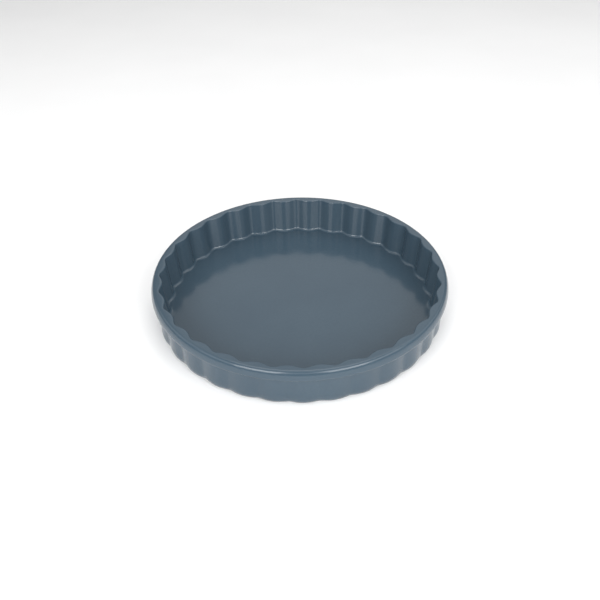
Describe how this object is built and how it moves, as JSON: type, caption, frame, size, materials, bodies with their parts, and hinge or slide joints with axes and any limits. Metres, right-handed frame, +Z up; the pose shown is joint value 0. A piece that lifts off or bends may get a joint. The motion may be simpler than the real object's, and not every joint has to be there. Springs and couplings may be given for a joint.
{
  "type": "tart dish",
  "caption": "Shallow round baking dish with a fluted wall, a flat floor, a plain rim collar and a foot ring, in glazed stoneware.",
  "frame": {"origin": "centre of the foot ring's underside, on the surface that the dish stands on", "axes": "+Z up along the dish's own axis; an inner groove of the flutes points along -Y"},
  "size_m": [0.28, 0.28, 0.0405],
  "materials": {
    "bare_stoneware": "bare fired clay, dry and slightly gritty",
    "glaze": "slate blue-grey satin-gloss glaze, smooth"
  },
  "bodies": {
    "root": {"stoneware_body": "bare_stoneware", "glaze_coat": "glaze"}
  },
  "joints": []
}
